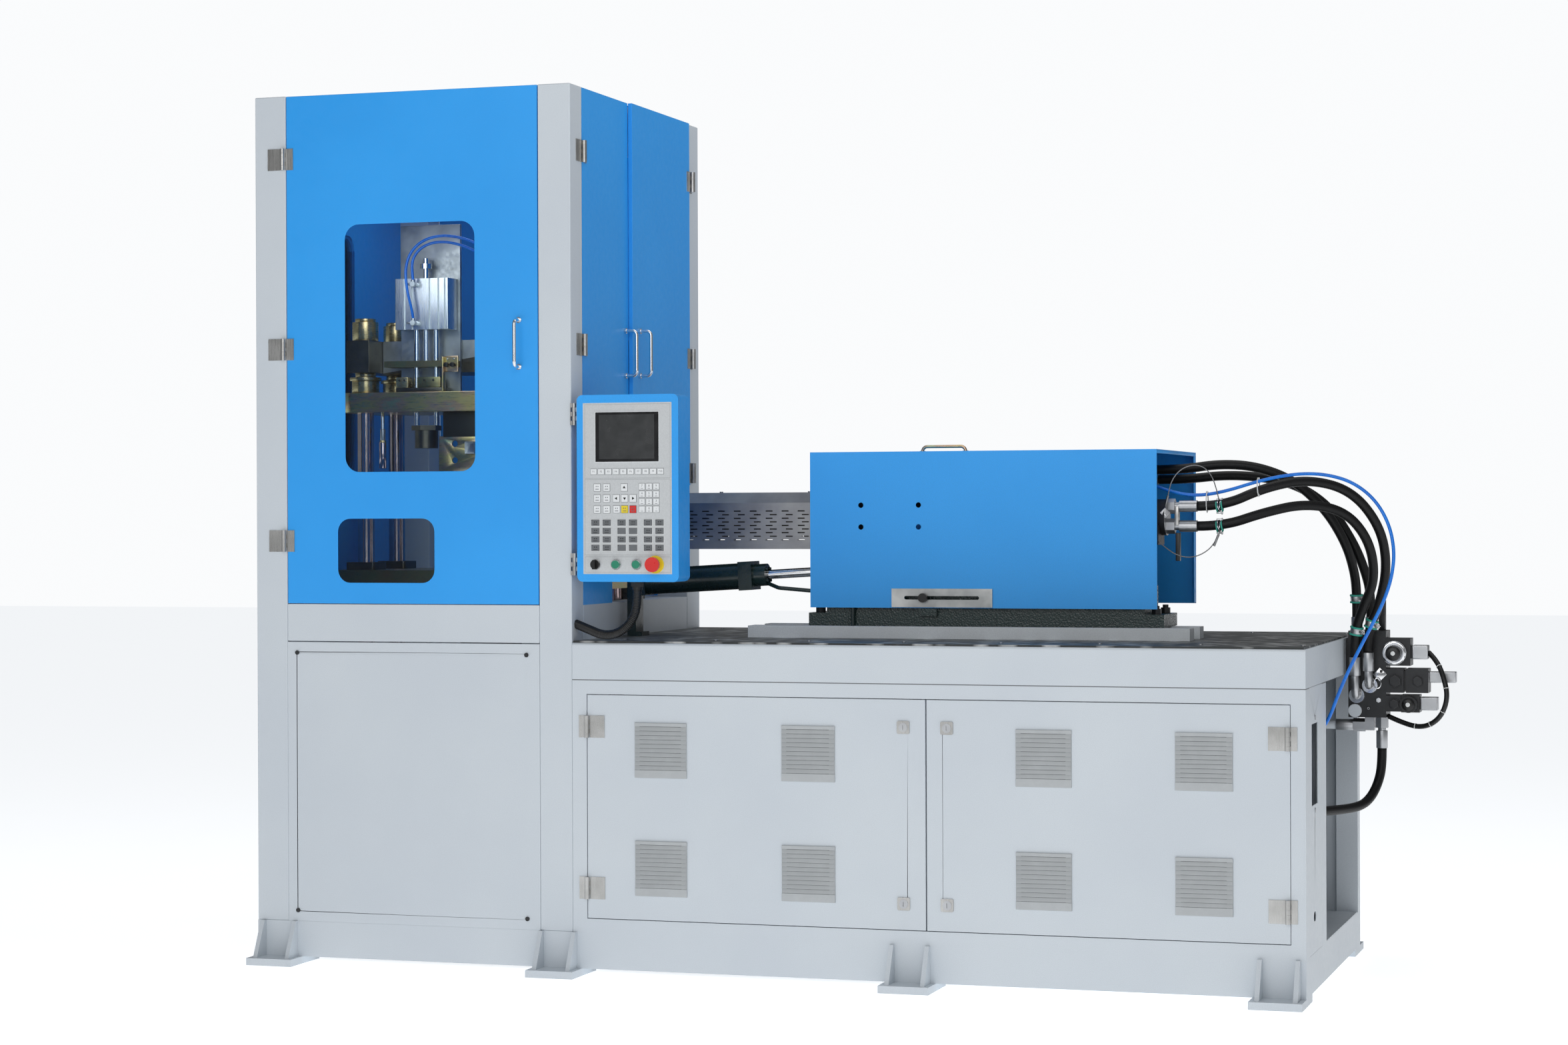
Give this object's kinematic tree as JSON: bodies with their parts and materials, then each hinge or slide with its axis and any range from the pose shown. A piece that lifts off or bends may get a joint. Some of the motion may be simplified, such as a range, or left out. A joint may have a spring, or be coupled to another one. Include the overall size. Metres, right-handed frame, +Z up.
{
  "type": "blow moulding machine",
  "caption": "Floor-standing blow moulding machine: windowed tower, long vented base cabinet, hooded sliding injection unit with slotted barrel guard, operator panel and hydraulic hoses.",
  "frame": {"origin": "on the floor under the middle of the machine's box, cords left out", "axes": "+X along the machine from the tower to the hose end, +Y to the back, +Z up"},
  "size_m": [3.233, 1.202, 2.427],
  "materials": {
    "air_tube_plastic": "blue polyurethane",
    "aluminium": "anodised extrusion",
    "barrel_steel": "heat tinted",
    "black_cylinder": "semi gloss",
    "black_plastic": "black",
    "black_valve": "black oxide",
    "blue_paint": "fine textured powder coat",
    "cable_black": "black sheath",
    "chrome": "polished",
    "clamp_steel": "zinc plated",
    "conduit_plastic": "corrugated",
    "dark_green_paint": "hammered dark green black paint",
    "display_glass": "dark display",
    "face_plastic": "light grey film",
    "green_plastic": "green",
    "grey_paint": "satin powder coat with small scuffs",
    "grille_plastic": "light grey moulded",
    "hose_rubber": "braided black cover",
    "power_pack_paint": "grey enamel",
    "rail_paint": "satin, chipped edges",
    "red_plastic": "red",
    "stainless": "satin",
    "tread_plate": "dark ribbed plate",
    "window_pane": "clear",
    "wire_steel": "stranded wire",
    "zinc_plate": "yellow zinc plating",
    "zinc_screws": "zinc plated"
  },
  "bodies": {
    "machine": {"tower_frame": "grey_paint", "tower_skin": "blue_paint", "base_frame": "grey_paint", "deck_plate": "tread_plate", "grey_panels": "grey_paint", "hinge_frame_leaves": "stainless", "carriage_rails": "rail_paint", "machine_screws": "zinc_screws", "seat_cylinder": "black_cylinder", "platens": "zinc_plate", "manifold": "black_valve", "power_pack": "power_pack_paint", "hose_clamps": "clamp_steel", "hmi_conduit": "conduit_plastic", "pressure_hose_front": "hose_rubber", "pressure_hose_rear": "hose_rubber", "upper_hose_front": "hose_rubber", "upper_hose_rear": "hose_rubber", "air_tube": "air_tube_plastic", "valve_cable": "cable_black", "return_hose": "hose_rubber"},
    "front_door": {"front_door": "blue_paint", "front_door_glazing": "window_pane", "front_door_fittings": "stainless"},
    "side_front_door": {"side_front_door": "blue_paint", "side_front_fittings": "stainless"},
    "side_rear_door": {"side_rear_door": "blue_paint", "side_rear_fittings": "stainless"},
    "operator_panel": {"hmi_housing": "blue_paint", "hmi_face": "face_plastic", "hmi_display": "display_glass"},
    "selector": {"hmi_selector": "black_plastic"},
    "button_left": {"hmi_button_left": "green_plastic"},
    "button_right": {"hmi_button_right": "green_plastic"},
    "stop_button": {"hmi_stop_button": "red_plastic"},
    "cabinet_door_left": {"cabinet_door_left": "grey_paint", "cabinet_left_grilles": "grille_plastic", "cabinet_left_fittings": "stainless"},
    "cabinet_door_right": {"cabinet_door_right": "grey_paint", "cabinet_right_grilles": "grille_plastic", "cabinet_right_fittings": "stainless"},
    "lock_left_lower": {"lock_left_lower": "stainless"},
    "lock_left_upper": {"lock_left_upper": "stainless"},
    "lock_right_lower": {"lock_right_lower": "stainless"},
    "lock_right_upper": {"lock_right_upper": "stainless"},
    "carriage": {"carriage_casting": "dark_green_paint", "hydraulic_motor": "clamp_steel", "injection_barrel": "barrel_steel", "barrel_guard": "stainless", "whip_wires": "wire_steel"},
    "screw": {"injection_screw": "barrel_steel"},
    "seat_rod": {"seat_cylinder_rod": "chrome"},
    "cover": {"cover": "blue_paint", "cover_fittings": "zinc_plate"},
    "knob": {"cover_knob": "black_plastic", "cover_knob_stud": "zinc_screws"},
    "press": {"press_table": "zinc_plate", "tie_bars": "chrome", "air_cylinder": "aluminium"},
    "air_rods": {"air_cylinder_rods": "chrome"}
  },
  "joints": [
    {"name": "front_door_hinge", "type": "hinge", "parent": "machine", "child": "front_door", "pos_m": [-1.5285, -0.534, 1.7], "axis": [0, 0, 1], "range_deg": [-110, 0]},
    {"name": "side_front_door_hinge", "type": "hinge", "parent": "machine", "child": "side_front_door", "pos_m": [-0.6605, -0.438, 1.7], "axis": [0, 0, 1], "range_deg": [-85, 0]},
    {"name": "side_rear_door_hinge", "type": "hinge", "parent": "machine", "child": "side_rear_door", "pos_m": [-0.6475, 0.422, 1.7], "axis": [0, 0, 1], "range_deg": [0, 95]},
    {"name": "operator_panel_hinge", "type": "hinge", "parent": "machine", "child": "operator_panel", "pos_m": [-0.6565, -0.533, 1.32], "axis": [0, 0, 1], "range_deg": [-95, 0], "deforming": ["hmi_conduit"]},
    {"name": "selector_turn", "type": "hinge", "parent": "operator_panel", "child": "selector", "pos_m": [-0.5915, -0.547, 1.118], "axis": [0, 1, 0], "range_deg": [-45, 45]},
    {"name": "button_left_press", "type": "slide", "parent": "operator_panel", "child": "button_left", "axis": [0, 1, 0], "range_m": [0, 0.004], "stiffness_N_per_m": 600},
    {"name": "button_right_press", "type": "slide", "parent": "operator_panel", "child": "button_right", "axis": [0, 1, 0], "range_m": [0, 0.004], "stiffness_N_per_m": 600},
    {"name": "stop_button_press", "type": "slide", "parent": "operator_panel", "child": "stop_button", "axis": [0, 1, 0], "range_m": [0, 0.005], "stiffness_N_per_m": 900},
    {"name": "cabinet_door_left_hinge", "type": "hinge", "parent": "machine", "child": "cabinet_door_left", "pos_m": [-0.6235, -0.534, 0.46], "axis": [0, 0, 1], "range_deg": [-110, 0]},
    {"name": "cabinet_door_right_hinge", "type": "hinge", "parent": "machine", "child": "cabinet_door_right", "pos_m": [1.2745, -0.534, 0.46], "axis": [0, 0, 1], "range_deg": [0, 110]},
    {"name": "lock_left_lower_turn", "type": "hinge", "parent": "cabinet_door_left", "child": "lock_left_lower", "pos_m": [0.2655, -0.527, 0.2265], "axis": [0, 1, 0], "range_deg": [-90, 0]},
    {"name": "lock_left_upper_turn", "type": "hinge", "parent": "cabinet_door_left", "child": "lock_left_upper", "pos_m": [0.2655, -0.527, 0.6905], "axis": [0, 1, 0], "range_deg": [-90, 0]},
    {"name": "lock_right_lower_turn", "type": "hinge", "parent": "cabinet_door_right", "child": "lock_right_lower", "pos_m": [0.3835, -0.527, 0.2265], "axis": [0, 1, 0], "range_deg": [0, 90]},
    {"name": "lock_right_upper_turn", "type": "hinge", "parent": "cabinet_door_right", "child": "lock_right_upper", "pos_m": [0.3835, -0.527, 0.6905], "axis": [0, 1, 0], "range_deg": [0, 90]},
    {"name": "carriage_slide", "type": "slide", "parent": "machine", "child": "carriage", "axis": [1, 0, 0], "range_m": [-0.12, 0.07], "deforming": ["pressure_hose_front", "pressure_hose_rear", "upper_hose_front", "upper_hose_rear", "air_tube"]},
    {"name": "screw_spin", "type": "hinge", "parent": "carriage", "child": "screw", "pos_m": [-0.1165, -0.067, 1.24], "axis": [1, 0, 0], "continuous": true},
    {"name": "seat_rod_slide", "type": "slide", "parent": "machine", "child": "seat_rod", "axis": [0.9983, 0, 0.0584], "range_m": [-0.12, 0.07]},
    {"name": "cover_slide", "type": "slide", "parent": "carriage", "child": "cover", "axis": [1, 0, 0], "range_m": [-0.145, 0.045]},
    {"name": "knob_turn", "type": "hinge", "parent": "carriage", "child": "knob", "pos_m": [0.2295, -0.187, 1.022], "axis": [0, 1, 0], "range_deg": [-180, 180]},
    {"name": "press_slide", "type": "slide", "parent": "machine", "child": "press", "axis": [0, 0, 1], "range_m": [-0.14, 0]},
    {"name": "air_rod_slide", "type": "slide", "parent": "press", "child": "air_rods", "axis": [0, 0, 1], "range_m": [-0.028, 0.035]}
  ],
  "couplings": [
    {"joint": "seat_rod_slide", "follows": "carriage_slide", "ratio": 1}
  ]
}
